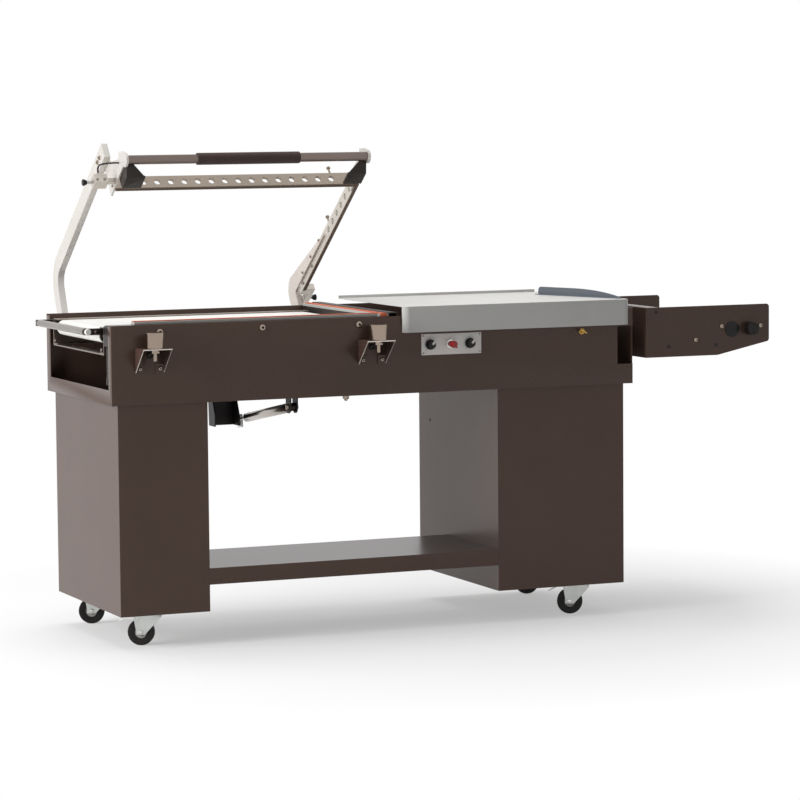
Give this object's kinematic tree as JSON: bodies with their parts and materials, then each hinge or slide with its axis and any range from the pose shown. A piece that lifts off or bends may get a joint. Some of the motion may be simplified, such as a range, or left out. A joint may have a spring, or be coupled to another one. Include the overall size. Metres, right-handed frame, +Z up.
{
  "type": "l bar sealer",
  "caption": "Floor-standing L bar sealer on casters: hinged L-shaped hot-wire sealing head with handle, take-away belt, product tray and film unwind cradle.",
  "frame": {"origin": "on the floor, under the middle of the machine's bounding box with the head raised", "axes": "+X along the machine from the take-away end to the film unwind, +Y from the operator to the rear, +Z up"},
  "size_m": [2.128, 0.7978, 1.4162],
  "materials": {
    "cabinet_paint": "satin",
    "dark_rail": "satin",
    "bed_grey": "satin",
    "silicone": "matte",
    "tray_grey": "satin",
    "guide_blue_grey": "satin",
    "plate_light": "matte",
    "black_plastic": "matte",
    "red_plastic": "gloss",
    "nickel": "polished",
    "aluminium": "brushed",
    "steel": "brushed",
    "white_belt": "matte",
    "black_paint": "satin",
    "band_dark": "matte",
    "black_foam": "matte",
    "chrome": "polished",
    "caster_tyre": "matte"
  },
  "bodies": {
    "chassis": {"left_pedestal": "cabinet_paint", "right_pedestal": "cabinet_paint", "lower_shelf": "cabinet_paint", "front_panel": "cabinet_paint", "rear_panel": "cabinet_paint", "left_end_panel": "cabinet_paint", "right_end_panel": "cabinet_paint", "chassis_floor": "cabinet_paint", "side_rail": "dark_rail", "seal_beds": "bed_grey", "seal_pads": "silicone", "product_tray": "tray_grey", "film_guide_wing": "guide_blue_grey", "control_plate": "plate_light", "magnet_brackets": "cabinet_paint", "hold_down_magnets": "nickel", "conveyor_frame": "aluminium", "conveyor_bed": "steel", "conveyor_belt": "white_belt", "gearmotor": "black_paint", "outfeed_brackets": "black_paint", "pivot_bearings": "black_paint", "unwind_frame": "cabinet_paint", "unwind_spacers": "cabinet_paint", "caster_plates": "chrome"},
    "head": {"pivot_shaft": "black_paint", "left_arm": "aluminium", "right_arm": "aluminium", "front_seal_bar": "aluminium", "side_seal_bar": "aluminium", "seal_band": "band_dark", "head_end_plates": "aluminium", "corner_brackets": "steel", "handle_tube": "steel", "handle_grip": "black_foam", "wire_terminals": "nickel", "terminal_lead": "black_foam"},
    "spring_tube": {"gas_spring_cylinder": "steel"},
    "spring_rod": {"gas_spring_rod": "steel"},
    "drive_roller": {"drive_roller": "steel"},
    "idler_roller": {"idler_roller": "steel"},
    "outfeed_roller": {"outfeed_roller": "steel"},
    "near_cradle_roller": {"near_cradle_roller": "steel"},
    "far_cradle_roller": {"far_cradle_roller": "steel"},
    "unwind_knob": {"unwind_knob": "black_plastic"},
    "left_dial": {"left_dial": "black_plastic"},
    "right_dial": {"right_dial": "black_plastic"},
    "mode_switch": {"mode_switch": "red_plastic"},
    "left_tension_knob": {"left_tension_knob": "black_plastic"},
    "rear_tension_knob": {"rear_tension_knob": "black_plastic"},
    "front_left_fork": {"front_left_fork": "chrome"},
    "front_left_wheel": {"front_left_wheel": "caster_tyre"},
    "rear_left_fork": {"rear_left_fork": "chrome"},
    "rear_left_wheel": {"rear_left_wheel": "caster_tyre"},
    "front_right_fork": {"front_right_fork": "chrome"},
    "front_right_wheel": {"front_right_wheel": "caster_tyre"},
    "rear_right_fork": {"rear_right_fork": "chrome"},
    "rear_right_wheel": {"rear_right_wheel": "caster_tyre"},
    "front_left_brake": {"front_left_brake": "chrome"},
    "front_right_brake": {"front_right_brake": "chrome"}
  },
  "joints": [
    {"name": "head_hinge", "type": "hinge", "parent": "chassis", "child": "head", "pos_m": [-0.566, 0.31456, 0.8625], "axis": [1, 0, 0], "range_deg": [0, 37.4], "stiffness_Nm_per_rad": 40, "springref_deg": -57.3},
    {"name": "spring_swing", "type": "hinge", "parent": "chassis", "child": "spring_tube", "pos_m": [-0.416, -0.16243, 0.65], "axis": [1, 0, 0], "range_deg": [0, 5.65]},
    {"name": "spring_stroke", "type": "slide", "parent": "spring_tube", "child": "spring_rod", "axis": [0, 0.9868, -0.1618], "range_m": [0, 0.17682]},
    {"name": "drive_roller_spin", "type": "hinge", "parent": "chassis", "child": "drive_roller", "pos_m": [-0.992, -0.02744, 0.8805], "axis": [0, 1, 0], "continuous": true},
    {"name": "idler_roller_spin", "type": "hinge", "parent": "chassis", "child": "idler_roller", "pos_m": [-0.246, -0.02744, 0.8805], "axis": [0, 1, 0], "continuous": true},
    {"name": "outfeed_roller_spin", "type": "hinge", "parent": "chassis", "child": "outfeed_roller", "pos_m": [-1.054, -0.02744, 0.893], "axis": [0, 1, 0], "continuous": true},
    {"name": "near_cradle_spin", "type": "hinge", "parent": "chassis", "child": "near_cradle_roller", "pos_m": [0.724, -0.02744, 0.794], "axis": [0, 1, 0], "continuous": true},
    {"name": "far_cradle_spin", "type": "hinge", "parent": "chassis", "child": "far_cradle_roller", "pos_m": [0.883, -0.02744, 0.794], "axis": [0, 1, 0], "continuous": true},
    {"name": "unwind_knob_turn", "type": "hinge", "parent": "chassis", "child": "unwind_knob", "pos_m": [0.996, -0.32743, 0.84], "axis": [0, 1, 0], "range_deg": [-180, 180]},
    {"name": "left_dial_turn", "type": "hinge", "parent": "chassis", "child": "left_dial", "pos_m": [-0.051, -0.32743, 0.8285], "axis": [0, 1, 0], "range_deg": [-140, 140]},
    {"name": "right_dial_turn", "type": "hinge", "parent": "chassis", "child": "right_dial", "pos_m": [0.074, -0.32743, 0.8285], "axis": [0, 1, 0], "range_deg": [-140, 140]},
    {"name": "mode_switch_turn", "type": "hinge", "parent": "chassis", "child": "mode_switch", "pos_m": [0.012, -0.32743, 0.8285], "axis": [0, 1, 0], "range_deg": [-45, 45]},
    {"name": "left_tension_turn", "type": "hinge", "parent": "head", "child": "left_tension_knob", "pos_m": [-1.006, -0.14839, 1.30822], "axis": [1, 0, 0], "range_deg": [-180, 180]},
    {"name": "rear_tension_turn", "type": "hinge", "parent": "head", "child": "rear_tension_knob", "pos_m": [-0.158, 0.34771, 0.93384], "axis": [1, 0, 0], "range_deg": [-180, 180]},
    {"name": "front_left_swivel", "type": "hinge", "parent": "chassis", "child": "front_left_fork", "pos_m": [-0.88, -0.24743, 0.095], "axis": [0, 0, 1], "continuous": true},
    {"name": "front_left_roll", "type": "hinge", "parent": "front_left_fork", "child": "front_left_wheel", "pos_m": [-0.90825, -0.23241, 0.038], "axis": [-0.4695, -0.8829, 0], "continuous": true},
    {"name": "rear_left_swivel", "type": "hinge", "parent": "chassis", "child": "rear_left_fork", "pos_m": [-0.88, 0.20456, 0.095], "axis": [0, 0, 1], "continuous": true},
    {"name": "rear_left_roll", "type": "hinge", "parent": "rear_left_fork", "child": "rear_left_wheel", "pos_m": [-0.90967, 0.21655, 0.038], "axis": [-0.3746, -0.9272, 0], "continuous": true},
    {"name": "front_right_swivel", "type": "hinge", "parent": "chassis", "child": "front_right_fork", "pos_m": [0.468, -0.24743, 0.095], "axis": [0, 0, 1], "continuous": true},
    {"name": "front_right_roll", "type": "hinge", "parent": "front_right_fork", "child": "front_right_wheel", "pos_m": [0.43949, -0.23291, 0.038], "axis": [-0.454, -0.891, 0], "continuous": true},
    {"name": "rear_right_swivel", "type": "hinge", "parent": "chassis", "child": "rear_right_fork", "pos_m": [0.468, 0.20456, 0.095], "axis": [0, 0, 1], "continuous": true},
    {"name": "rear_right_roll", "type": "hinge", "parent": "rear_right_fork", "child": "rear_right_wheel", "pos_m": [0.49843, 0.19468, 0.038], "axis": [0.309, 0.9511, 0], "continuous": true},
    {"name": "front_left_brake_tilt", "type": "hinge", "parent": "front_left_fork", "child": "front_left_brake", "pos_m": [-0.91708, -0.22772, 0.08], "axis": [-0.4695, -0.8829, 0], "range_deg": [0, 12]},
    {"name": "front_right_brake_tilt", "type": "hinge", "parent": "front_right_fork", "child": "front_right_brake", "pos_m": [0.43058, -0.22837, 0.08], "axis": [-0.454, -0.891, 0], "range_deg": [0, 12]}
  ],
  "couplings": [
    {"joint": "spring_swing", "follows": "head_hinge", "ratio": 0.15075},
    {"joint": "spring_stroke", "follows": "head_hinge", "m_per_rad": 0.27073},
    {"joint": "idler_roller_spin", "follows": "drive_roller_spin", "ratio": 1}
  ]
}
